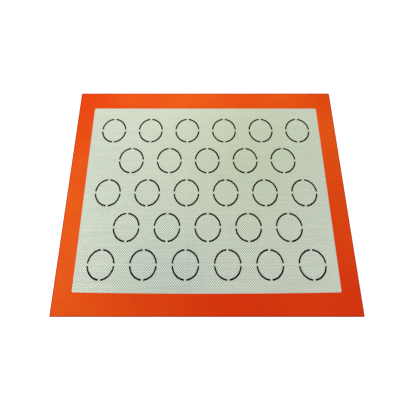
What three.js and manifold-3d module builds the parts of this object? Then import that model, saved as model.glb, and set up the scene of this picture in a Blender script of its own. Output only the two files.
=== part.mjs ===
// Silicone baking mat: a glass cloth with a clear silicone coat on each face, an orange silicone
// edging that seals the cut edge of the cloth, and printed guide rings in staggered rows.
// Millimetres, +Z up. The origin is under the middle of the mat, on the surface that it lies on.
// X runs along the long side and +Y points to the rear edge.
import * as THREE from "three";
import { mergeVertices } from "three/addons/utils/BufferGeometryUtils.js";
import Module from "manifold-3d";

const wasm = await Module();
wasm.setup();

// Outline of the mat
const mat_length = 400; // along X
const mat_width = 300; // along Y
const outer_corner_radius = 1.2;

// Layers, from the tray up
const coat_thickness = 0.18; // clear silicone on each face of the cloth
const cloth_thickness = 0.3;
const bond_gap = 0.01; // clearance between bonded pieces

// Border
const border_width = 24.4; // visible band, from the outer edge to the window
const border_rise = 0.08; // how far the upper band stands above the upper coat
const edge_wall = 1.2; // silicone outside the cut edge of the cloth
const window_corner_radius = 1.6;

// Guide rings
const ring_diameter = 35.2; // at the middle of the stroke
const stroke_width = 2.2;
const stroke_gap = 3; // bare cloth between two strokes of a ring
const strokes_per_ring = 4;
const ink_thickness = 0.05;
const hairline_width = 0.2; // ink that ties the four strokes of a ring together
const row_count = 5;
const rings_in_long_row = 6; // each second row holds one ring fewer, set half a pitch in
const side_margin = 15.4; // bare cloth between the side border and a long row
const front_margin = 14.8; // bare cloth between the front border and the first row
const rear_margin = 17.8; // bare cloth between the rear border and the last row
const short_row_shift = 2; // how far the short rows are printed to the right of the middle

// Facets
const corner_segments = 2;
const stroke_segments = 4;

// Heights that follow from the layers
const cloth_floor = coat_thickness + bond_gap;
const upper_coat_floor = cloth_floor + cloth_thickness + bond_gap;
const field_height = upper_coat_floor + coat_thickness;
const ring_floor = field_height + bond_gap;
const border_height = field_height + border_rise;
const through_cut_margin = 1; // how far a cutter passes the faces that it cuts

// Ring spacing that follows from the window
const window_length = mat_length - 2 * border_width;
const window_width = mat_width - 2 * border_width;
const ring_outside = ring_diameter + stroke_width;
const column_pitch = (window_length - 2 * side_margin - ring_outside) / (rings_in_long_row - 1);
const row_pitch = (window_width - front_margin - rear_margin - ring_outside) / (row_count - 1);
const first_row_y = front_margin + ring_outside / 2 - window_width / 2;

// Finishes
const orange_silicone = { color: 0xe2500f, roughness: 0.5, metalness: 0 };
const clear_silicone = { color: 0xc6cdb8, roughness: 0.45, metalness: 0 };
const woven_glass = { color: 0xd6d7c8, roughness: 0.7, metalness: 0 };
const black_ink = { color: 0x16170f, roughness: 0.55, metalness: 0 };

// Rectangle with round corners, centred on the origin, inset from the mat's outline.
function insetOutline(inset, corner_radius) {
  const half_x = mat_length / 2 - inset;
  const half_y = mat_width / 2 - inset;
  const arc_x = half_x - corner_radius;
  const arc_y = half_y - corner_radius;
  const quarter = Math.PI / 2;
  const outline = new THREE.Shape();
  outline.absarc(arc_x, arc_y, corner_radius, 0, quarter);
  outline.absarc(-arc_x, arc_y, corner_radius, quarter, 2 * quarter);
  outline.absarc(-arc_x, -arc_y, corner_radius, 2 * quarter, 3 * quarter);
  outline.absarc(arc_x, -arc_y, corner_radius, 3 * quarter, 4 * quarter);
  outline.closePath();
  return outline;
}

function slab(outline, thickness, curve_segments) {
  const settings = { depth: thickness, bevelEnabled: false, curveSegments: curve_segments };
  return new THREE.ExtrudeGeometry(outline, settings);
}

// A closed geometry as a solid that can be cut.
function solidOf(geometry) {
  const bare = geometry.clone();
  bare.deleteAttribute("normal");
  bare.deleteAttribute("uv");
  const merged = mergeVertices(bare);
  const vertices = merged.getAttribute("position").array;
  const triangles = new Uint32Array(merged.index.array);
  return new wasm.Manifold(new wasm.Mesh({ numProp: 3, vertProperties: vertices, triVerts: triangles }));
}

function geometryOf(solid) {
  const cut = solid.getMesh();
  const geometry = new THREE.BufferGeometry();
  geometry.setAttribute("position", new THREE.BufferAttribute(cut.vertProperties, 3));
  geometry.setIndex(new THREE.BufferAttribute(cut.triVerts, 1));
  return geometry;
}

function piece(name, geometry, finish, floor) {
  const mesh = new THREE.Mesh(geometry, new THREE.MeshStandardMaterial(finish));
  mesh.name = name;
  mesh.position.z = floor;
  return mesh;
}

// The edging is a slab with a window through it and a slot that takes the edge of the cloth.
function borderGeometry() {
  const outline = insetOutline(0, outer_corner_radius);
  const window_outline = insetOutline(border_width, window_corner_radius);
  const slot_outline = insetOutline(edge_wall - bond_gap, outer_corner_radius);
  const window_depth = border_height + 2 * through_cut_margin;
  const slot_depth = cloth_thickness + 2 * bond_gap;
  const window_cutter = slab(window_outline, window_depth, corner_segments);
  window_cutter.translate(0, 0, -through_cut_margin);
  const slot_cutter = slab(slot_outline, slot_depth, corner_segments);
  slot_cutter.translate(0, 0, coat_thickness);
  const blank = solidOf(slab(outline, border_height, corner_segments));
  return geometryOf(blank.subtract(solidOf(window_cutter)).subtract(solidOf(slot_cutter)));
}

// One side of a printed ring, out or in from the middle of the stroke (side is 1 or -1). Round
// each stroke it runs at the stroke's edge, and across each gap it steps back to the hairline.
function ringEdge(path, side) {
  const ring_radius = ring_diameter / 2;
  const stroke_edge = ring_radius + (side * stroke_width) / 2;
  const hairline_edge = ring_radius + (side * hairline_width) / 2;
  const gap_angle = stroke_gap / ring_radius;
  const step = (2 * Math.PI) / strokes_per_ring;
  for (let stroke = 0; stroke < strokes_per_ring; stroke += 1) {
    const start = stroke * step + gap_angle / 2;
    const end = (stroke + 1) * step - gap_angle / 2;
    const next_start = end + gap_angle;
    path.absarc(0, 0, stroke_edge, start, end);
    path.lineTo(hairline_edge * Math.cos(end), hairline_edge * Math.sin(end));
    path.lineTo(hairline_edge * Math.cos(next_start), hairline_edge * Math.sin(next_start));
  }
  path.closePath();
  return path;
}

function ringGeometry() {
  const outline = ringEdge(new THREE.Shape(), 1);
  outline.holes.push(ringEdge(new THREE.Path(), -1));
  return slab(outline, ink_thickness, stroke_segments);
}

// Rows are counted from the front edge and columns from the left.
function guideRings() {
  const rings = new THREE.Group();
  for (let row = 0; row < row_count; row += 1) {
    const rings_in_row = rings_in_long_row - (row % 2);
    const row_shift = (row % 2) * short_row_shift;
    for (let column = 0; column < rings_in_row; column += 1) {
      const name = `guide_ring_r${row + 1}_c${column + 1}`;
      const ring = piece(name, ringGeometry(), black_ink, ring_floor);
      ring.position.x = (column - (rings_in_row - 1) / 2) * column_pitch + row_shift;
      ring.position.y = first_row_y + row * row_pitch;
      rings.add(ring);
    }
  }
  return rings;
}

const cloth_outline = insetOutline(edge_wall, outer_corner_radius);
const coat_outline = insetOutline(border_width + bond_gap, window_corner_radius);
const cloth_geometry = slab(cloth_outline, cloth_thickness, corner_segments);
const lower_coat_geometry = slab(coat_outline, coat_thickness, corner_segments);
const upper_coat_geometry = slab(coat_outline, coat_thickness, corner_segments);

const baking_mat = new THREE.Group();
baking_mat.add(piece("lower_coat", lower_coat_geometry, clear_silicone, 0));
baking_mat.add(piece("glass_cloth", cloth_geometry, woven_glass, cloth_floor));
baking_mat.add(piece("upper_coat", upper_coat_geometry, clear_silicone, upper_coat_floor));
baking_mat.add(piece("border_edging", borderGeometry(), orange_silicone, 0));
baking_mat.add(guideRings());

export default baking_mat;
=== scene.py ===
# %% [markdown]
# # A silicone baking mat
# The real mat is a woven glass cloth soaked in clear silicone. An orange silicone border seals
# its cut edge, and printed rings show where each biscuit goes. All of it is thinner than a coin,
# so the looks come from small relief and from the way silicone takes the light.
# The CAD model already holds every size and place. This script loads it as a fixed frame and
# builds each visible piece on it, in metres.

# %% Load the frame
import math

import bpy
import numpy as np
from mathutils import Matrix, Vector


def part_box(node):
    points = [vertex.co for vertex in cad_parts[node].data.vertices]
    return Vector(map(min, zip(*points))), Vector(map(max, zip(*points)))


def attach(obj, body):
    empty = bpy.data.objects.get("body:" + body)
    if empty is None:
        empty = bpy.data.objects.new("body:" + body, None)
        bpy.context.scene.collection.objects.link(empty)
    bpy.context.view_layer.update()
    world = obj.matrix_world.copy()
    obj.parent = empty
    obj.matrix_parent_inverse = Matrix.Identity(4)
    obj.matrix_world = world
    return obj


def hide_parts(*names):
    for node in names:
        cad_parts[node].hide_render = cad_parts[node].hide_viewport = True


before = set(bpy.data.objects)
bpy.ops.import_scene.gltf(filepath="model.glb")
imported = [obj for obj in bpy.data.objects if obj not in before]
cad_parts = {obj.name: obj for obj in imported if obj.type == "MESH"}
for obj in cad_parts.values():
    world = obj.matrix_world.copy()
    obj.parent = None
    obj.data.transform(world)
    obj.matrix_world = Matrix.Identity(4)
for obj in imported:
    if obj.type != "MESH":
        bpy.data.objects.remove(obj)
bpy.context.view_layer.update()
mm = 0.001

# %% [markdown]
# ## The camera
# The photograph looks down on the mat from a little in front of it. Its side edges close towards
# the rear, so the camera is tilted, yet the printed rings look taller than wide, which a plain
# tilt can't give. A wide lens with a shift can: the camera stands nearly over the mat, and the
# frame slides off the lens axis as it does on a view camera. A longer lens without a shift was the
# other choice, and it makes the mat too short from front to rear.

# %% Camera
view_angle = math.radians(75)
lens_tilt = math.radians(17.87)
lens_shift = -0.25
camera_place = (-8.8 * mm, 10.3 * mm, 399 * mm)

camera_data = bpy.data.cameras.new("photo_camera")
camera_data.angle = view_angle
camera_data.shift_y = lens_shift
camera = bpy.data.objects.new("photo_camera", camera_data)
camera.location = camera_place
camera.rotation_euler = (lens_tilt, 0, 0)
bpy.context.scene.collection.objects.link(camera)
bpy.context.scene.camera = camera
bpy.context.scene.view_settings.view_transform = "Standard"
print("lens in mm:", round(camera_data.lens, 2), "shift:", round(camera_data.shift_y, 2))

# %% [markdown]
# ## From points to a piece
# Every piece below is a closed mesh whose points follow from a formula, so one helper turns
# points and faces into an object. Modelling by hand or with modifiers would also work, but a
# formula keeps all the layers in step: the yarns, the coat over them and the ink on the coat
# share one weave. The second helper ties a piece to the CAD: it rides on the mat's one body and
# hides the solids that it stands for.

# %% Helpers for pieces
crease_angle = math.radians(50)


def make_piece(name, points, faces):
    mesh = bpy.data.meshes.new(name)
    mesh.from_pydata(points, [], faces)
    mesh.shade_smooth()
    mesh.set_sharp_from_angle(angle=crease_angle)
    piece = bpy.data.objects.new(name, mesh)
    bpy.context.scene.collection.objects.link(piece)
    print(name, "has", len(mesh.vertices), "points and", len(mesh.polygons), "faces")
    return piece


def tie_to_frame(piece, slot, *nodes):
    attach(piece, "root")
    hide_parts(*nodes)


print("edges that turn by more than", round(math.degrees(crease_angle)), "degrees stay sharp")

# %% [markdown]
# ## The weave
# The cloth is a plain weave: each yarn passes over one crossing yarn and under the next. Seen
# through the coat, that gives a checkerboard of crowns with a pore between every four yarns.
# The photograph gives a pitch of about 1.7 mm across and 1.9 mm along. It is drawn a little finer
# here, because in a picture of this size yarns of just that width melt into a plain tone when the
# render is cleaned of noise. Two cosines give the whole surface: their product says which yarn
# is on top, and their squares how close a pore is.

# %% Weave surface
warp_pitch = 1.56 * mm  # between the yarns that run from front to rear
weft_pitch = 1.64 * mm  # between the yarns that run from left to right
pore_share = 0.7  # how much of the relief is pores; the rest is over and under


def weave_waves(x, y):
    return np.cos(np.pi * x / warp_pitch), np.cos(np.pi * y / weft_pitch)


def weave_sink(x, y):
    """How deep the surface lies under the highest crowns, from 0 to 1."""
    warp_wave, weft_wave = weave_waves(x, y)
    pore = 1 - (warp_wave**2 + weft_wave**2) / 2
    under = (1 - warp_wave * weft_wave) / 2
    return pore_share * pore + (1 - pore_share) * under


print("sink at a crown:", weave_sink(0, 0))
print("sink at a pore:", round(weave_sink(warp_pitch / 2, weft_pitch / 2), 3))

# %% [markdown]
# ## Grids for the layers
# Each layer is a grid of points with a rim. Blender has a grid of its own, but here the lines have
# to lie on the yarns, because a regular grid that misses the crowns would beat against the weave
# and show stripes. The CAD layers have small round corners, so the outermost grid points are
# pulled onto them.

# %% Grid lines
least_last_step = 0.3  # the grid's last step is at least this share of the others


def grid_lines(half_size, step):
    count = int(half_size / step - least_last_step)
    inside = np.arange(-count, count + 1) * step
    return np.concatenate(([-half_size], inside, [half_size]))


def round_corners(x, y, radius):
    """Pulls points past a corner's arc onto it."""
    past_x = np.abs(x) - (np.abs(x).max() - radius)
    past_y = np.abs(y) - (np.abs(y).max() - radius)
    reach = np.hypot(past_x, past_y)
    outside = (past_x > 0) & (past_y > 0) & (reach > radius)
    pull = np.where(outside, 1 - radius / np.maximum(reach, radius), 0)
    return x - np.sign(x) * past_x * pull, y - np.sign(y) * past_y * pull


# %% Grid faces
def cell_corners(values):
    """What a grid holds at the four corners of every cell, counter-clockwise from above."""
    return values[:-1, :-1], values[:-1, 1:], values[1:, 1:], values[1:, :-1]


def grid_faces(index):
    return np.stack(cell_corners(index), axis=-1).reshape(-1, 4).tolist()


def rim_of(index):
    """The grid's outermost points, counter-clockwise from above."""
    return np.concatenate((index[0, :-1], index[:-1, -1], index[-1, :0:-1], index[:0:-1, 0]))


def rim_faces(upper, lower):
    next_upper = np.roll(upper, -1)
    next_lower = np.roll(lower, -1)
    return np.stack((upper, lower, next_lower, next_upper), axis=-1).tolist()


small_grid = np.arange(9).reshape(3, 3)
print("faces of a grid of 3 x 3 points:", len(grid_faces(small_grid)))
print("points on its rim:", len(rim_of(small_grid)))

# %% [markdown]
# ## The clear coats
# Clear silicone fills the cloth and covers both faces. It hugs the yarns, so the baking face and
# the tray face are faintly quilted: crowns at full height, pores a few hundredths of a
# millimetre deeper. A bump map could fake that, but the relief is real in the mesh here, because
# a bump map is flat in a side view and is lost when someone takes only the mesh. A point in the
# middle of each cell, down in the pore, makes a dimple of four triangles.

# %% Dimples
def dimple_faces(index, pores):
    """Four triangles for each cell of a grid, from its corners down to its pore."""
    corners = cell_corners(index)
    faces = []
    for corner, next_corner in zip(corners, corners[1:] + corners[:1]):
        faces += np.stack((corner, next_corner, pores), axis=-1).reshape(-1, 3).tolist()
    return faces


def cell_middles(values):
    corners = cell_corners(values)
    return sum(corners) / len(corners)


print("the small grid has", cell_middles(small_grid).size, "dimples")

# %% Coats
coat_relief = 0.075 * mm
coat_corner = 1.6 * mm


def make_coat(name, node, faces_up):
    low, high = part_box(node)
    x, y = np.meshgrid(grid_lines(high.x, warp_pitch), grid_lines(high.y, weft_pitch))
    index = np.arange(x.size).reshape(x.shape)
    x, y = round_corners(x, y, coat_corner)
    pore_x, pore_y = cell_middles(x), cell_middles(y)
    pores = x.size + np.arange(pore_x.size).reshape(pore_x.shape)
    plan = np.concatenate((np.column_stack((x.ravel(), y.ravel())),
                           np.column_stack((pore_x.ravel(), pore_y.ravel()))))
    sink = coat_relief * weave_sink(plan[:, 0], plan[:, 1])
    outer_z = high.z - sink if faces_up else low.z + sink
    inner_z = low.z if faces_up else high.z
    rim = rim_of(index)
    inner_rim = len(plan) + np.arange(rim.size)
    quilted = np.column_stack((plan, outer_z))
    flat = quilted[rim]
    flat[:, 2] = inner_z
    faces = dimple_faces(index, pores) + rim_faces(rim, inner_rim) + [inner_rim[::-1].tolist()]
    if not faces_up:
        faces = [face[::-1] for face in faces]
    coat = make_piece(name, np.concatenate((quilted, flat)).tolist(), faces)
    tie_to_frame(coat, "clear_silicone", node)
    return coat


upper_coat = make_coat("clear_coat_baking_face", "upper_coat", True)
lower_coat = make_coat("clear_coat_tray_face", "lower_coat", False)

# %% [markdown]
# ## The glass cloth
# Inside lies the cloth itself. Nobody sees it on a whole mat, but it is what gives the mat its
# size, and a mat that is cut open shows it. Modelling each yarn would take millions of faces. One
# grid point for each crossing is enough: points rise and fall in turn, as the yarns do.

# %% Cloth
cloth_corner = 1.2 * mm
crimp_share = 0.2  # how far a yarn rises and falls, as a share of the cloth's thickness

cloth_low, cloth_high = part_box("glass_cloth")
cloth_middle = (cloth_low.z + cloth_high.z) / 2
crimp = crimp_share * (cloth_high.z - cloth_low.z)
half_sheet = (cloth_high.z - cloth_low.z) / 2 - crimp
x, y = np.meshgrid(grid_lines(cloth_high.x, warp_pitch), grid_lines(cloth_high.y, weft_pitch))
warp_wave, weft_wave = weave_waves(x, y)
wave = cloth_middle + crimp * warp_wave * weft_wave
x, y = round_corners(x, y, cloth_corner)
index = np.arange(x.size).reshape(x.shape)
upper_face = np.stack((x, y, wave + half_sheet), axis=-1).reshape(-1, 3)
lower_face = np.stack((x, y, wave - half_sheet), axis=-1).reshape(-1, 3)
cloth_points = np.concatenate((upper_face, lower_face)).tolist()
cloth_faces = grid_faces(index)
cloth_faces += [face[::-1] for face in grid_faces(index + x.size)]
cloth_faces += rim_faces(rim_of(index), rim_of(index) + x.size)
glass_cloth = make_piece("woven_glass_cloth", cloth_points, cloth_faces)
tie_to_frame(glass_cloth, "woven_glass", "glass_cloth")

# %% [markdown]
# ## The orange border
# The border is one strip of silicone folded round the edge of the cloth, so its section is a U
# lying on its side. The real one has no sharp edge: it thins out where no cloth is inside it, and
# at the window its lip laps over the coat, by hand and not quite evenly, and follows the yarns. A
# bevel modifier would round all edges alike and keep them straight, so the section is drawn point
# by point and then swept round the mat.

# %% Border section
border_low, border_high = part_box("border_edging")
coat_low, coat_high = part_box("upper_coat")
under_low, under_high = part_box("lower_coat")
window = border_high.x - coat_high.x  # from the outer edge to the window
edge_wall = border_high.x - cloth_high.x  # silicone outside the cloth
edge_round = 1.7 * mm
edge_drop = 0.26 * mm
foot_round = 0.12 * mm
lip_round = 0.7 * mm
lip_clearance = 0.004 * mm
seal_width = 2.6 * mm  # the outermost strip, where little or no cloth backs the silicone
round_steps = 7


def quarter_round(steep_end, level_end):
    """Points of a quarter ellipse from its steep end to its level end."""
    turn = np.linspace(0, math.pi / 2, round_steps)
    inset = level_end[0] + (steep_end[0] - level_end[0]) * np.cos(turn)
    height = steep_end[1] + (level_end[1] - steep_end[1]) * np.sin(turn)
    return np.stack((inset, height), axis=-1)


edge_top = border_high.z - edge_drop
lip_foot = coat_high.z + lip_clearance
lip_underside = lip_foot - lip_clearance / 2
outer_round = quarter_round((0, edge_top), (edge_round, border_high.z))
lip = quarter_round((window, lip_foot), (window - lip_round, border_high.z))[::-1]
seal_end = [(seal_width, border_high.z)]
slot_and_window = [
    (window, lip_underside),
    (window, coat_low.z),
    (edge_wall, coat_low.z),
    (edge_wall, under_high.z),
    (window, under_high.z),
    (window, border_low.z + foot_round),
]
foot = [
    (window - foot_round, border_low.z),
    (seal_width, border_low.z),
    (foot_round, border_low.z),
    (0, border_low.z + foot_round),
]
section = np.concatenate((outer_round, seal_end, lip, slot_and_window, foot))
lip_start = len(outer_round) + len(seal_end)
lip_rows = range(lip_start + 1, lip_start + round_steps)
print("the section has", len(section), "points, window at", round(window / mm, 2), "mm")

# %% [markdown]
# One line of the sweep runs round the mat at one inset. On the lip each side gets its own lap, the
# front side bows a little, and a fine ripple follows the yarns. Bow and ripple die away at the
# corners, so that the four sides meet. Four plain rectangles would be simpler, but they would
# give a lip that looks cut by a machine.

# %% Border lines
corner_outside = 1.2 * mm
corner_window = 1.6 * mm
corner_steps = 7
lip_ripple = 0.07 * mm
lip_lap = {"front": 2.2 * mm, "right": 0.62 * mm, "rear": 1.22 * mm, "left": 0.15 * mm}
front_bow = 1.45 * mm  # how much less the front lip laps in its middle than at its ends
no_lap = dict.fromkeys(lip_lap, 0)


def straight_count(half_length, pitch):
    return 2 * round(2 * half_length / pitch)


def border_loop(inset, laps, ripple, bow):
    """One closed line round the mat, counter-clockwise from the front left. It lies at this
    inset and further in by each side's lap."""
    radius = corner_outside + (corner_window - corner_outside) * min(inset / window, 1)
    half = (border_high.x - inset, border_high.y - inset)
    pitches = (warp_pitch, weft_pitch)
    widths = list(laps.values())
    loop = []
    for quarter, side in enumerate(laps):
        run = quarter % 2
        start = radius + widths[quarter - 1] - half[run]
        end = half[run] - radius - widths[(quarter + 1) % len(widths)]
        depth = half[1 - run] - widths[quarter]
        count = straight_count((border_high.x, border_high.y)[run], pitches[run])
        along = np.linspace(start, end, count)
        fade = np.minimum(1, np.minimum(along - start, end - along) / pitches[run])
        wobble = ripple * fade * np.cos(np.pi * along / pitches[run])
        if side == "front":
            wobble -= bow * (along - start) * (end - along) / ((end - start) / 2) ** 2
        turn = np.linspace(-math.pi / 2, 0, corner_steps)[1:-1]
        local_x = np.concatenate((along, end + radius * np.cos(turn)))
        local_y = np.concatenate((wobble - depth, radius - depth + radius * np.sin(turn)))
        spin = quarter * math.pi / 2
        loop.append(np.stack((local_x * math.cos(spin) - local_y * math.sin(spin),
                              local_x * math.sin(spin) + local_y * math.cos(spin)), axis=-1))
    return np.concatenate(loop)


print("one line round the border has", len(border_loop(0, no_lap, 0, 0)), "points")

# %% Border sweep
rows = []
for row, (inset, height) in enumerate(section):
    if row in lip_rows:
        line = border_loop(inset, lip_lap, lip_ripple, front_bow)
    else:
        line = border_loop(inset, no_lap, 0, 0)
    rows.append(np.column_stack((line, np.full(len(line), height))))
sweep = np.array(rows)
index = np.arange(sweep.shape[0] * sweep.shape[1]).reshape(sweep.shape[:2])
index = np.concatenate((index, index[:1]))
index = np.concatenate((index, index[:, :1]), axis=1)
border = make_piece("orange_silicone_border", sweep.reshape(-1, 3).tolist(), grid_faces(index))
tie_to_frame(border, "orange_silicone", "border_edging")

# %% [markdown]
# The shader needs to know where the border has no cloth behind it, because silicone over white
# cloth glows and silicone on its own looks deeper. That is stored on the points as a number
# from 1 at the outer edge to 0 where the cloth backs it fully.

# %% Depth of colour at the edge
seal = np.clip(1 - section[:, 0] / seal_width, 0, 1)
edge_seal = border.data.attributes.new("edge_seal", "FLOAT", "POINT")
edge_seal.data.foreach_set("value", np.repeat(seal, sweep.shape[1]).astype(np.float32))
print("points on the sealed edge:", int((seal > 0).sum()) * sweep.shape[1])

# %% [markdown]
# ## The printed rings
# Each ring is four strokes of silicone ink, pressed through a screen. The ink lies on the coat,
# a few hundredths of a millimetre high with soft shoulders, and dips a little with the weave. A
# curve with a bevel would give round wires, and a texture would be flat, so every stroke is its
# own small closed mesh. In CAD a hairline joins the four strokes; here the gaps are clear.

# %% Stroke
stroke_width = 2.2 * mm
stroke_gap = 3 * mm
ink_height = 0.055 * mm
ink_clearance = 0.003 * mm
ink_follow = 0.45  # how much of the weave still shows on top of the ink
ink_bleed = 0.06 * mm  # how far it runs past the screen at a pore
stroke_steps = 44
# From the foot to the top: shares of half the width and of the height
stroke_half_section = ((1, 0), (0.985, 0.45), (0.9, 0.82), (0.72, 0.97), (0.35, 1))
# From the end inwards: distance and share of the full width
end_taper = ((0, 0.84), (0.1 * mm, 0.95), (0.25 * mm, 1))


def stroke_stations(length):
    """Distances along a stroke, and how wide it is there: its ends are slightly round."""
    distances = [distance for distance, width in end_taper]
    widths = [width for distance, width in end_taper]
    middle = np.linspace(distances[-1], length - distances[-1], stroke_steps)[1:-1]
    stations = np.concatenate((distances, middle, length - np.array(distances[::-1])))
    return stations, np.concatenate((widths, np.ones(len(middle)), widths[::-1]))


def stroke_mesh(centre, radius, start, sweep_angle, first):
    """Points and faces of one stroke; first is the number of its first point."""
    stations, widths = stroke_stations(radius * sweep_angle)
    right = np.array(stroke_half_section)
    left = right[::-1] * (-1, 1)
    around = np.concatenate((right, left))
    angle = start + stations[:, None] / radius
    offset = around[None, :, 0] * widths[:, None] * stroke_width / 2
    line_x = centre.x + radius * np.cos(angle)
    line_y = centre.y + radius * np.sin(angle)
    bleed = ink_bleed * weave_sink(line_x, line_y) * np.sign(offset)
    reach = radius + offset + bleed
    x = centre.x + reach * np.cos(angle)
    y = centre.y + reach * np.sin(angle)
    sink = coat_relief * weave_sink(x, y)
    bed = coat_high.z - sink + ink_clearance
    crest = coat_high.z - ink_follow * sink + ink_height
    z = bed + (crest - bed) * around[None, :, 1]
    points = np.stack((x, y, z), axis=-1).reshape(-1, 3)
    index = first + np.arange(x.size).reshape(x.shape)
    closed = np.concatenate((index, index[:, :1]), axis=1)
    ends = [index[0].tolist(), index[-1, ::-1].tolist()]
    return points, [face[::-1] for face in grid_faces(closed)] + ends


print("sections of a stroke:", len(stroke_stations(stroke_width)[0]))
print("points of a section:", 2 * len(stroke_half_section))

# %% Rings
strokes = 4


def make_ring(node):
    low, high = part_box(node)
    centre = (low + high) / 2
    # The box ends at the ends of the strokes, half a gap off the axis.
    outside = math.hypot((high.x - low.x) / 2, stroke_gap / 2)
    radius = outside - stroke_width / 2
    gap_angle = stroke_gap / radius
    step = 2 * math.pi / strokes
    points = np.zeros((0, 3))
    faces = []
    for stroke in range(strokes):
        start = stroke * step + gap_angle / 2
        more_points, more_faces = stroke_mesh(centre, radius, start, step - gap_angle, len(points))
        points = np.concatenate((points, more_points))
        faces += more_faces
    ring = make_piece(node.replace("guide_ring", "ink_ring"), points.tolist(), faces)
    tie_to_frame(ring, "black_ink", node)
    return ring


ring_nodes = sorted(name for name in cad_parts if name.startswith("guide_ring"))
rings = [make_ring(node) for node in ring_nodes]
print(len(rings), "rings printed")

# %% [markdown]
# ## The sheet and its size
# The cloth is the one sheet of fabric in the mat, cut flat and laid into the silicone. It could be
# draped by a simulation, but a mat on a tray lies flat, so the cloth above is built flat.

# %% [markdown]
# ## Shader helpers
# The finishes are built from nodes only. Nodes can be dragged by hand in the shader editor, but in
# a script a few short functions keep them readable: one feeds a socket with a number or with
# another node, and the others add a node of one kind and hand back its output.

# %% Helpers for numbers
whole = (0, 1)  # the full range of a mask


def feed(tree, socket, value):
    if isinstance(value, bpy.types.NodeSocket):
        tree.links.new(value, socket)
    else:
        socket.default_value = value


def calculate(tree, operation, *values):
    node = tree.nodes.new("ShaderNodeMath")
    node.operation = operation
    for socket, value in zip(node.inputs, values):
        feed(tree, socket, value)
    return node.outputs[0]


def rescale(tree, value, span, result):
    """Stretches a span of values to a new range, with soft ends."""
    node = tree.nodes.new("ShaderNodeMapRange")
    node.interpolation_type = "SMOOTHSTEP"
    for socket, number in zip(node.inputs, (value, *span, *result)):
        feed(tree, socket, number)
    return node.outputs[0]


print("a mask runs from", whole[0], "to", whole[1])

# %% Helpers for mixing
mix_sockets = {"FLOAT": (0, 2, 3, 0), "RGBA": (0, 6, 7, 2)}  # factor, first, second and result


def mix(tree, kind, factor, first, second):
    node = tree.nodes.new("ShaderNodeMix")
    node.data_type = kind
    *places, result = mix_sockets[kind]
    for place, value in zip(places, (factor, first, second)):
        feed(tree, node.inputs[place], value)
    return node.outputs[result]


def mix_values(tree, factor, first, second):
    return mix(tree, "FLOAT", factor, first, second)


def mix_colours(tree, factor, first, second):
    return mix(tree, "RGBA", factor, first, second)


def paint_light_tint(tree, factor, colour, glass):
    """Multiplies a colour by a tint, which here paints warm or cool light; the factor is how much of the
    tint counts.
    """
    mixed = mix_colours(tree, factor, colour, glass)
    mixed.node.blend_type = "MULTIPLY"
    return mixed


print("kinds of mix:", ", ".join(mix_sockets))

# %% Helpers for places and noise
noise_span = (0.3, 0.7)  # where most of a noise texture's values lie


def object_axes(tree):
    place = tree.nodes.new("ShaderNodeTexCoord")
    axes = tree.nodes.new("ShaderNodeSeparateXYZ")
    tree.links.new(place.outputs["Object"], axes.inputs[0])
    return axes.outputs["X"], axes.outputs["Y"], axes.outputs["Z"]


def noise(tree, x, y, z, detail):
    place = tree.nodes.new("ShaderNodeCombineXYZ")
    for socket, value in zip(place.inputs, (x, y, z)):
        feed(tree, socket, value)
    node = tree.nodes.new("ShaderNodeTexNoise")
    node.inputs["Scale"].default_value = 1
    node.inputs["Detail"].default_value = detail
    tree.links.new(place.outputs[0], node.inputs["Vector"])
    return node.outputs[0]


print("noise is stretched from", noise_span, "to", whole)

# %% [markdown]
# Effects that several finishes share become node groups. A group is made once, with named inputs
# and outputs, and placed in each finish with its own values.

# %% Helpers for groups
def new_group(name, inputs, outputs):
    group = bpy.data.node_groups.new(name, "ShaderNodeTree")
    for label, value in inputs.items():
        socket = group.interface.new_socket(label, in_out="INPUT", socket_type="NodeSocketFloat")
        socket.default_value = value
    for label in outputs:
        group.interface.new_socket(label, in_out="OUTPUT", socket_type="NodeSocketFloat")
    given = group.nodes.new("NodeGroupInput").outputs
    result = group.nodes.new("NodeGroupOutput").inputs
    print(name, "takes", ", ".join(inputs), "and gives", ", ".join(outputs))
    return group, given, result


def use_group(tree, group, **values):
    node = tree.nodes.new("ShaderNodeGroup")
    node.node_tree = group
    for label, value in values.items():
        feed(tree, node.inputs[label.replace("_", " ")], value)
    return node.outputs


# %% [markdown]
# ## Effect: glass weave
# The coats, the cloth, the border and the ink all show the weave, so it is one group. An image of
# a weave would be quicker, but it would have to be fitted. The group repeats the formula of the
# mesh in nodes, which keeps the drawn yarns on the modelled ones, and adds what a mesh can't hold:
# the fine filaments of each yarn, and the drift of a yarn that is thicker here and thinner there.

# %% Glass weave group: yarns
weave_group, given, result = new_group(
    "Glass weave",
    {"Warp pitch": warp_pitch, "Weft pitch": weft_pitch, "Filament": 0.16 * mm, "Softness": 0.4},
    ("Warp on top", "Pore", "Filaments", "Drift", "Height"),
)
x, y, z = object_axes(weave_group)
warp_count = calculate(weave_group, "DIVIDE", x, given["Warp pitch"])
weft_count = calculate(weave_group, "DIVIDE", y, given["Weft pitch"])
warp_angle = calculate(weave_group, "MULTIPLY", warp_count, math.pi)
weft_angle = calculate(weave_group, "MULTIPLY", weft_count, math.pi)
warp_wave = calculate(weave_group, "COSINE", warp_angle)
weft_wave = calculate(weave_group, "COSINE", weft_angle)
over = calculate(weave_group, "MULTIPLY", warp_wave, weft_wave)
warp_square = calculate(weave_group, "MULTIPLY", warp_wave, warp_wave)
weft_square = calculate(weave_group, "MULTIPLY", weft_wave, weft_wave)
solid = calculate(weave_group, "DIVIDE", calculate(weave_group, "ADD", warp_square, weft_square), 2)
pore = calculate(weave_group, "SUBTRACT", 1, solid)
under_softness = calculate(weave_group, "MULTIPLY", given["Softness"], -1)
warp_on_top = rescale(weave_group, over, (under_softness, given["Softness"]), whole)
crown = calculate(weave_group, "MULTIPLY", solid, pore_share)
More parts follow.
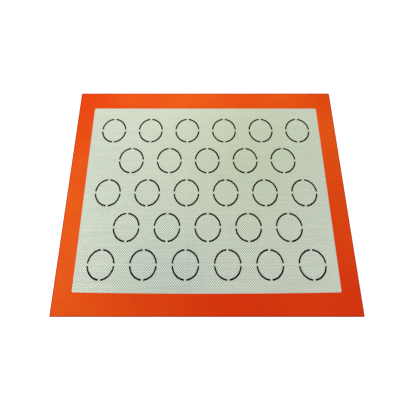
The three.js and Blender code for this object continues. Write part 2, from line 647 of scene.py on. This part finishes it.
raised = calculate(weave_group, "MULTIPLY", calculate(weave_group, "ADD", over, 1), (1 - pore_share) / 2)
weave_group.links.new(warp_on_top, result["Warp on top"])
weave_group.links.new(pore, result["Pore"])
weave_group.links.new(calculate(weave_group, "ADD", crown, raised), result["Height"])
print("glass weave group, yarns:", len(weave_group.nodes), "nodes")

# %% Glass weave group: filaments and drift
filament_stretch = 24  # a filament's streak is this many times as long as wide
filament_detail = 2
drift_length = 90 * mm  # over which a yarn grows thicker or thinner
drift_yarns = 1.4  # neighbours that grow thick or thin together
drift_detail = 1
weft_share = 0.85  # how much of the drift is the weft's, which is spun less evenly

fine_x = calculate(weave_group, "DIVIDE", x, given["Filament"])
fine_y = calculate(weave_group, "DIVIDE", y, given["Filament"])
long_x = calculate(weave_group, "DIVIDE", fine_x, filament_stretch)
long_y = calculate(weave_group, "DIVIDE", fine_y, filament_stretch)
warp_filaments = noise(weave_group, fine_x, long_y, 0, filament_detail)
weft_filaments = noise(weave_group, long_x, fine_y, 0, filament_detail)
filaments = mix_values(weave_group, warp_on_top, weft_filaments, warp_filaments)
slow_x = calculate(weave_group, "DIVIDE", x, drift_length)
slow_y = calculate(weave_group, "DIVIDE", y, drift_length)
warp_band = calculate(weave_group, "DIVIDE", warp_count, drift_yarns)
weft_band = calculate(weave_group, "DIVIDE", weft_count, drift_yarns)
warp_drift = noise(weave_group, warp_band, slow_y, 0, drift_detail)
weft_drift = noise(weave_group, slow_x, weft_band, 0, drift_detail)
drift = mix_values(weave_group, weft_share, warp_drift, weft_drift)
weave_group.links.new(filaments, result["Filaments"])
weave_group.links.new(rescale(weave_group, drift, noise_span, whole), result["Drift"])
print("glass weave group, complete:", len(weave_group.nodes), "nodes")

# %% [markdown]
# ## Effect: silicone skin
# Cured silicone is never quite even. It has slow changes of tone where it is thicker, faint
# streaks along the way the blade spread it, and a very fine pebbled skin. Three noises of different
# size and stretch give these. Border, coats and ink share them, each at its own scale.

# %% Silicone skin group
streak_stretch = 40  # a streak is this many times as long as wide
mottle_detail = 3
streak_detail = 2
grain_detail = 2

skin_group, given, result = new_group(
    "Silicone skin",
    {"Mottle size": 40 * mm, "Streak width": 2.5 * mm, "Grain size": 0.5 * mm},
    ("Mottle", "Streaks", "Grain"),
)
x, y, z = object_axes(skin_group)


def measured_in(size):
    return [calculate(skin_group, "DIVIDE", axis, size) for axis in (x, y, z)]


mottle = noise(skin_group, *measured_in(given["Mottle size"]), mottle_detail)
wide_x, narrow_y, narrow_z = measured_in(given["Streak width"])
long_x = calculate(skin_group, "DIVIDE", wide_x, streak_stretch)
streaks = noise(skin_group, long_x, narrow_y, narrow_z, streak_detail)
grain = noise(skin_group, *measured_in(given["Grain size"]), grain_detail)
skin_group.links.new(rescale(skin_group, mottle, noise_span, whole), result["Mottle"])
skin_group.links.new(rescale(skin_group, streaks, noise_span, whole), result["Streaks"])
skin_group.links.new(grain, result["Grain"])
print("silicone skin group:", len(skin_group.nodes), "nodes")

# %% [markdown]
# ## Effect: slow patch
# Silicone that is spread by hand is a little thicker in some places, and its tone changes there
# over a hand's breadth. The border's tone is deeper round some places, and the film on the cloth is
# thicker round one. The same patches also paint shade onto the border and warm and cool light
# onto the cloth. Painting that would need an image, so this is a group too: a soft round patch,
# given by its centre and its reach.

# %% Slow patch group
patch_group, given, result = new_group(
    "Slow patch",
    {"Centre x": 0, "Centre y": 0, "Reach": 200 * mm},
    ("Nearness",),
)
x, y, z = object_axes(patch_group)
off_x = calculate(patch_group, "SUBTRACT", x, given["Centre x"])
off_y = calculate(patch_group, "SUBTRACT", y, given["Centre y"])
square_x = calculate(patch_group, "MULTIPLY", off_x, off_x)
square_y = calculate(patch_group, "MULTIPLY", off_y, off_y)
distance = calculate(patch_group, "SQRT", calculate(patch_group, "ADD", square_x, square_y))
nearness = rescale(patch_group, distance, (0, given["Reach"]), (1, 0))
patch_group.links.new(nearness, result["Nearness"])
print("slow patch group:", len(patch_group.nodes), "nodes")

# %% [markdown]
# ## Finish: orange silicone
# The border is pigmented silicone with a satin face. One flat orange would look like plastic film.
# The colour of the real strip comes mostly from inside, so the reflection is kept weak and wide, and
# the tone changes slowly along the strip. Shade is painted in round the middle of the front and in
# the right front corner, and the tone is a little deeper in the rear corners. The sealed rim is
# deeper too, and the weave shows through as a faint quilting in the bump.

# %% Helpers for finishes
def new_finish(name, *finished):
    material = bpy.data.materials.new(name)
    material.use_nodes = True
    tree = material.node_tree
    for piece in finished:
        piece.data.materials.append(material)
    print(name, "goes on", len(finished), "of the scene's objects")
    return tree, tree.nodes["Principled BSDF"]


def add_bump(tree, shader, height, distance, strength):
    bump = tree.nodes.new("ShaderNodeBump")
    bump.inputs["Distance"].default_value = distance
    bump.inputs["Strength"].default_value = strength
    tree.links.new(height, bump.inputs["Height"])
    tree.links.new(bump.outputs["Normal"], shader.inputs["Normal"])


# %% Orange silicone: colour
bright_orange = (0.75, 0.102, 0.004, 1)
deep_orange = (0.69, 0.031, 0.001, 1)
rim_orange = (0.34, 0.018, 0.001, 1)
streak_share = 0.25  # how much of the unevenness is streaks; the rest is mottle
uneven_depth = (0.05, 0.5)
deep_and_shaded_patches = (  # centre, reach and depth; the first and last paint shade at the front, the rear two deepen the tone
    (50 * mm, -137 * mm, 300 * mm, 0.95),
    (-200 * mm, 150 * mm, 110 * mm, 0.75),
    (200 * mm, 150 * mm, 90 * mm, 0.6),
    (200 * mm, -145 * mm, 110 * mm, 0.95),
)
rim_span = (0.1, 1)
rim_depth = (0, 0.85)

tree, shader = new_finish("orange silicone", border)
skin = use_group(tree, skin_group, Mottle_size=130 * mm, Streak_width=3 * mm, Grain_size=0.6 * mm)
weave = use_group(tree, weave_group)
unevenness = mix_values(tree, streak_share, skin["Mottle"], skin["Streaks"])
depth = rescale(tree, unevenness, whole, uneven_depth)
# Each patch draws the border towards deep orange: at the front that is painted shade.
for centre_x, centre_y, reach, patch_depth in deep_and_shaded_patches:
    patch = use_group(tree, patch_group, Centre_x=centre_x, Centre_y=centre_y, Reach=reach)
    depth = mix_values(tree, patch["Nearness"], depth, patch_depth)
colour = mix_colours(tree, depth, bright_orange, deep_orange)
rim = tree.nodes.new("ShaderNodeAttribute")
rim.attribute_name = "edge_seal"
rim_tone = rescale(tree, rim.outputs["Fac"], rim_span, rim_depth)
tree.links.new(mix_colours(tree, rim_tone, colour, rim_orange), shader.inputs["Base Color"])
print("deeper places on the border:", len(deep_and_shaded_patches))

# %% Orange silicone: face
orange_roughness = (0.52, 0.64)
orange_gloss = 0.06
quilt_share = 0.45  # how much of the bump is the weave; the rest is grain
quilt_height = 0.05 * mm
quilt_strength = 0.5

tree.links.new(rescale(tree, skin["Mottle"], whole, orange_roughness), shader.inputs["Roughness"])
shader.inputs["Specular IOR Level"].default_value = orange_gloss
quilting = mix_values(tree, quilt_share, skin["Grain"], weave["Height"])
add_bump(tree, shader, quilting, quilt_height, quilt_strength)
print("orange silicone:", len(tree.nodes), "nodes")

# %% [markdown]
# ## Finish: clear silicone over glass
# The coat is clear, so what one sees is the cloth through it. Real transmission through a film this
# thin costs many samples and gains nothing, so the yarns are drawn on the coat itself: pale
# warp crowns, greener weft crowns, darker pores. Part of their contrast is the weave's own, and
# part is a painted sheen on the warp and painted shade on the weft. Towards the rear the film is
# thicker and hides more of the weave. Painted warm light with shade tints the cloth round a place
# at the rear right, and painted cool light round one at the front left.

# %% Clear silicone: yarns
# The weave pattern is the cloth's own; the warp crowns are paler with a painted sheen and the weft crowns
# darker with painted shade.
warp_tone_and_sheen = (0.92, 0.99, 0.87, 1)
weft_tone_and_shade = (0.28, 0.345, 0.256, 1)
pore_tone = (0.17, 0.20, 0.14, 1)
pore_span = (0.4, 1)
pore_shade = (0, 0.8)
filament_span = (0.35, 0.7)
filament_light = (0, 0.25)
drift_shade = (0, 0.12)

tree, shader = new_finish("clear silicone over glass", upper_coat, lower_coat)
skin = use_group(tree, skin_group, Mottle_size=70 * mm, Streak_width=4 * mm, Grain_size=0.4 * mm)
weave = use_group(tree, weave_group)
yarn = mix_colours(tree, weave["Warp on top"], weft_tone_and_shade, warp_tone_and_sheen)
yarn = mix_colours(tree, rescale(tree, weave["Pore"], pore_span, pore_shade), yarn, pore_tone)
yarn = mix_colours(tree, rescale(tree, weave["Filaments"], filament_span, filament_light), yarn, warp_tone_and_sheen)
yarn = mix_colours(tree, rescale(tree, weave["Drift"], whole, drift_shade), yarn, pore_tone)
print("clear silicone, yarns:", len(tree.nodes), "nodes")

# %% Clear silicone: film
film_tone = (0.55, 0.615, 0.463, 1)
thin_film = (0.05, 0.2)
thick_film = 0.6
painted_warm_light = (0.905, 0.925, 0.835, 1)
painted_cool_light = (0.91, 0.935, 0.96, 1)
painted_light_tints = (  # centre, reach and tint of the places where light and shade are painted onto the cloth
    (76 * mm, 65 * mm, 190 * mm, painted_warm_light),
    (-55 * mm, -120 * mm, 100 * mm, painted_cool_light),
)

thick_patch = use_group(tree, patch_group, Centre_x=0, Centre_y=150 * mm, Reach=300 * mm)
uneven_film = rescale(tree, skin["Mottle"], whole, thin_film)
film = mix_values(tree, thick_patch["Nearness"], uneven_film, thick_film)
colour = mix_colours(tree, film, yarn, film_tone)
# Painted warm light with shade at the rear right, painted cool light at the front left.
for centre_x, centre_y, reach, tint in painted_light_tints:
    patch = use_group(tree, patch_group, Centre_x=centre_x, Centre_y=centre_y, Reach=reach)
    colour = paint_light_tint(tree, patch["Nearness"], colour, tint)
tree.links.new(colour, shader.inputs["Base Color"])
print("clear silicone, film:", len(tree.nodes), "nodes")

# %% Clear silicone: face
clear_roughness = (0.42, 0.52)
clear_gloss = 0.35
coat_weight = (0.15, 0.3)
coat_roughness = 0.3
filament_share = 0.25  # how much of the bump is filaments; the rest is the weave
yarn_height = 0.05 * mm
yarn_strength = 0.5

tree.links.new(rescale(tree, skin["Streaks"], whole, clear_roughness), shader.inputs["Roughness"])
tree.links.new(rescale(tree, skin["Mottle"], whole, coat_weight), shader.inputs["Coat Weight"])
shader.inputs["Coat Roughness"].default_value = coat_roughness
shader.inputs["Specular IOR Level"].default_value = clear_gloss
relief = mix_values(tree, filament_share, weave["Height"], weave["Filaments"])
add_bump(tree, shader, relief, yarn_height, yarn_strength)
print("clear silicone, complete:", len(tree.nodes), "nodes")

# %% [markdown]
# ## Finish: woven glass
# The bare cloth is drier and whiter than the coated one. A hair shader could draw single fibres, but
# glass yarn is so fine that streaks of tone and bump along each yarn say the same. The edges of its
# yarns are crisper than under the film, so the weave group gets values of its own.

# %% Woven glass
glass_tone = (0.80, 0.81, 0.74, 1)
glass_shade = (0.55, 0.57, 0.49, 1)
glass_roughness = (0.55, 0.75)
fibre_height = 0.04 * mm
fibre_strength = 0.6

tree, shader = new_finish("woven glass", glass_cloth)
weave = use_group(tree, weave_group, Filament=0.12 * mm, Softness=0.25)
thread = mix_colours(tree, weave["Filaments"], glass_shade, glass_tone)
tree.links.new(mix_colours(tree, weave["Pore"], thread, glass_shade), shader.inputs["Base Color"])
tree.links.new(rescale(tree, weave["Filaments"], whole, glass_roughness), shader.inputs["Roughness"])
add_bump(tree, shader, weave["Filaments"], fibre_height, fibre_strength)
print("woven glass:", len(tree.nodes), "nodes")

# %% [markdown]
# ## Finish: black ink
# The ink is black silicone, matt and not quite solid: over the pores it is thinner and lets a
# little of the cloth through, and its tone drifts from ring to ring. Mixing in real transparency
# would do that too, but two blacks that differ slightly are enough for so thin a line.

# %% Black ink
ink_solid = (0.002, 0.002, 0.002, 1)
ink_thin = (0.008, 0.009, 0.007, 1)
ink_grain_span = (0.2, 0.8)
ink_roughness = (0.5, 0.65)
ink_gloss = 0.04
ink_grain_height = 0.02 * mm
ink_grain_strength = 0.5

tree, shader = new_finish("black ink", *rings)
skin = use_group(tree, skin_group, Mottle_size=25 * mm, Streak_width=1.5 * mm, Grain_size=0.25 * mm)
weave = use_group(tree, weave_group)
thin = calculate(tree, "MULTIPLY", weave["Pore"], skin["Mottle"])
tree.links.new(mix_colours(tree, thin, ink_solid, ink_thin), shader.inputs["Base Color"])
tree.links.new(rescale(tree, skin["Grain"], ink_grain_span, ink_roughness), shader.inputs["Roughness"])
shader.inputs["Specular IOR Level"].default_value = ink_gloss
add_bump(tree, shader, skin["Grain"], ink_grain_height, ink_grain_strength)
print("black ink:", len(tree.nodes), "nodes")

# %% [markdown]
# ## Floor and light
# The mat lies on white. A white floor under plain studio light would turn grey in the camera, and
# more light would bleach the mat. So the floor is pale and adds a little light of its own that
# only camera and mirror rays see. It still shows the mat's shadow. From below it is clear, so that
# the tray face can be looked at, and it doesn't take part in the light that reaches the mat. Far
# from the mat the lamps are weak, so the floor glows more there, and no grey band shows at the
# horizon in a low view.

# %% Floor
floor_half = 4  # metres
floor_drop = 0.05 * mm
corner_signs = ((-1, -1), (1, -1), (1, 1), (-1, 1))

floor_mesh = bpy.data.meshes.new("studio_floor")
floor_corners = [(sx * floor_half, sy * floor_half, -floor_drop) for sx, sy in corner_signs]
floor_mesh.from_pydata(floor_corners, [], [range(len(floor_corners))])
floor = bpy.data.objects.new("studio_floor", floor_mesh)
bpy.context.scene.collection.objects.link(floor)
floor.visible_diffuse = False
print("the floor is", 2 * floor_half, "m wide and", round(floor_drop / mm, 2), "mm under the mat")

# %% Finish of the floor
white = (1, 1, 1, 1)
floor_tone = (0.86, 0.86, 0.86, 1)
floor_roughness = 0.9
floor_glow = 0.6
near_tone = (0.75, 0.75, 0.75, 1)  # tone of the glow round the mat; far from it, it is white
near_reach = 1.5  # metres


def seen_directly(tree):
    """1 for rays that show the background itself: camera, mirror and glass rays."""
    path = tree.nodes.new("ShaderNodeLightPath").outputs
    direct = calculate(tree, "MAXIMUM", path["Is Camera Ray"], path["Is Glossy Ray"])
    return calculate(tree, "MAXIMUM", direct, path["Is Transmission Ray"])


tree, shader = new_finish("pale floor", floor)
shader.inputs["Base Color"].default_value = floor_tone
shader.inputs["Roughness"].default_value = floor_roughness
shader.inputs["Specular IOR Level"].default_value = 0
patch = use_group(tree, patch_group, Reach=near_reach)
glow_tone = mix_colours(tree, patch["Nearness"], white, near_tone)
tree.links.new(glow_tone, shader.inputs["Emission Color"])
glow = calculate(tree, "MULTIPLY", seen_directly(tree), floor_glow)
tree.links.new(glow, shader.inputs["Emission Strength"])
clear = tree.nodes.new("ShaderNodeBsdfTransparent")
side = tree.nodes.new("ShaderNodeNewGeometry")
choice = tree.nodes.new("ShaderNodeMixShader")
tree.links.new(side.outputs["Backfacing"], choice.inputs[0])
tree.links.new(shader.outputs[0], choice.inputs[1])
tree.links.new(clear.outputs[0], choice.inputs[2])
tree.links.new(choice.outputs[0], tree.nodes["Material Output"].inputs["Surface"])
print("pale floor:", len(tree.nodes), "nodes")

# %% [markdown]
# The light is soft and comes from three sides: strongest from the rear, weaker from the left and
# weakest from the right, as the tones of the border show. One large lamp from above would light all
# sides alike. The world fills the shadows, and to the camera it is plain white.

# %% World
ambient = 0.48

world = bpy.data.worlds.new("studio")
world.use_nodes = True
bpy.context.scene.world = world
tree = world.node_tree
background = tree.nodes["Background"]
background.inputs["Color"].default_value = white
tree.links.new(mix_values(tree, seen_directly(tree), ambient, 1), background.inputs["Strength"])
print("the world lights the mat at", ambient)

# %% Lamps
lamp_size = 0.4  # metres
lamps = {  # place in metres and power in watts
    "left_softbox": ((-0.50, -0.17, 0.35), 1.4),
    "right_softbox": ((0.46, -0.15, 0.35), 0.64),
    "rear_softbox": ((-0.07, 0.53, 0.35), 2.3),
}

for name, (place, power) in lamps.items():
    lamp_data = bpy.data.lights.new(name, "AREA")
    lamp_data.energy = power
    lamp_data.size = lamp_size
    lamp = bpy.data.objects.new(name, lamp_data)
    lamp.location = place
    lamp.rotation_euler = (-lamp.location).to_track_quat("-Z", "Y").to_euler()
    bpy.context.scene.collection.objects.link(lamp)
    print(name, "at", place, "with", power, "W")
